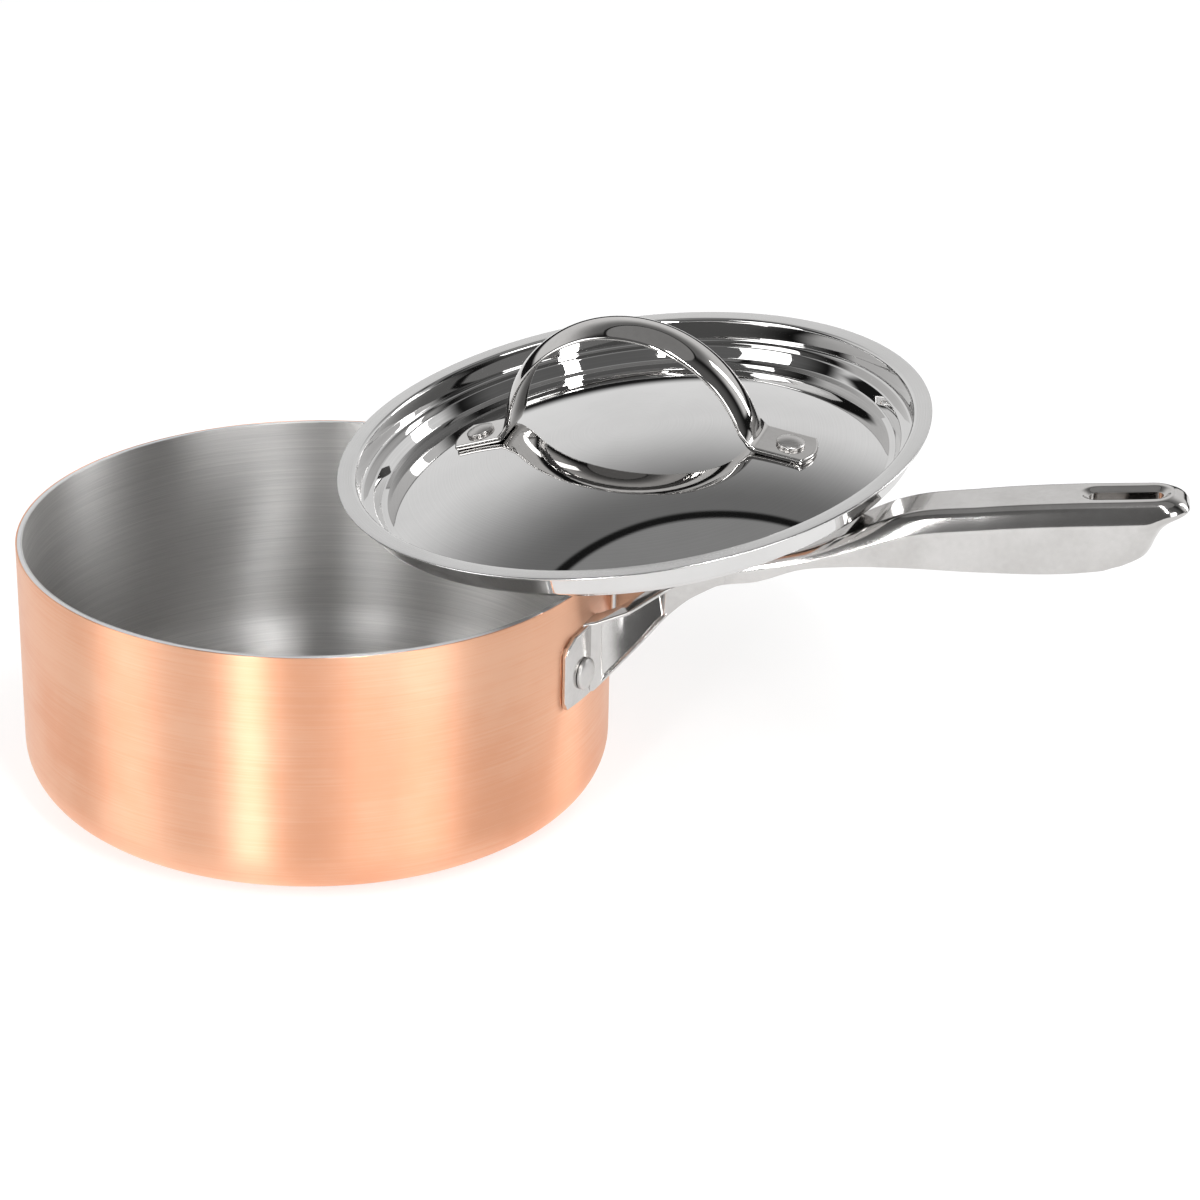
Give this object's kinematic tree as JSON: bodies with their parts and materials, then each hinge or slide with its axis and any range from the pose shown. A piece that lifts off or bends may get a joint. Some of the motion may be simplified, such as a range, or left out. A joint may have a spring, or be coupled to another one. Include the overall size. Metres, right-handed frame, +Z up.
{
  "type": "saucepan",
  "caption": "Layered copper saucepan with a riveted long steel handle, and a turned steel lid with an arched loop that leans open on the rim and the handle.",
  "frame": {"origin": "centre of the base, on the surface the pan stands on", "axes": "+X along the long handle, +Z up, +Y to the left of the handle seen from the pan"},
  "size_m": [0.3888, 0.2504, 0.1546],
  "materials": {
    "copper": "fine brushed copper, satin",
    "core_aluminium": "bare, seen only as a line in the rim",
    "liner_steel": "brushed round the wall",
    "cast_steel": "polished, satin on the flanks and plates",
    "lid_steel": "mirror polished, satin flange",
    "loop_steel": "mirror polished",
    "rivet_steel": "polished"
  },
  "bodies": {
    "pan": {"pan_copper_shell": "copper", "pan_aluminium_core": "core_aluminium", "pan_steel_liner": "liner_steel", "long_handle": "cast_steel", "handle_rivet_left": "rivet_steel", "handle_rivet_right": "rivet_steel"},
    "lid": {"lid_shell": "lid_steel", "lid_loop_handle": "loop_steel", "lid_rivet_left": "rivet_steel", "lid_rivet_right": "rivet_steel"}
  },
  "joints": [
    {"name": "lid_lift", "type": "slide", "parent": "pan", "child": "lid", "axis": [0, 0, 1], "range_m": [0, 0.12]}
  ]
}
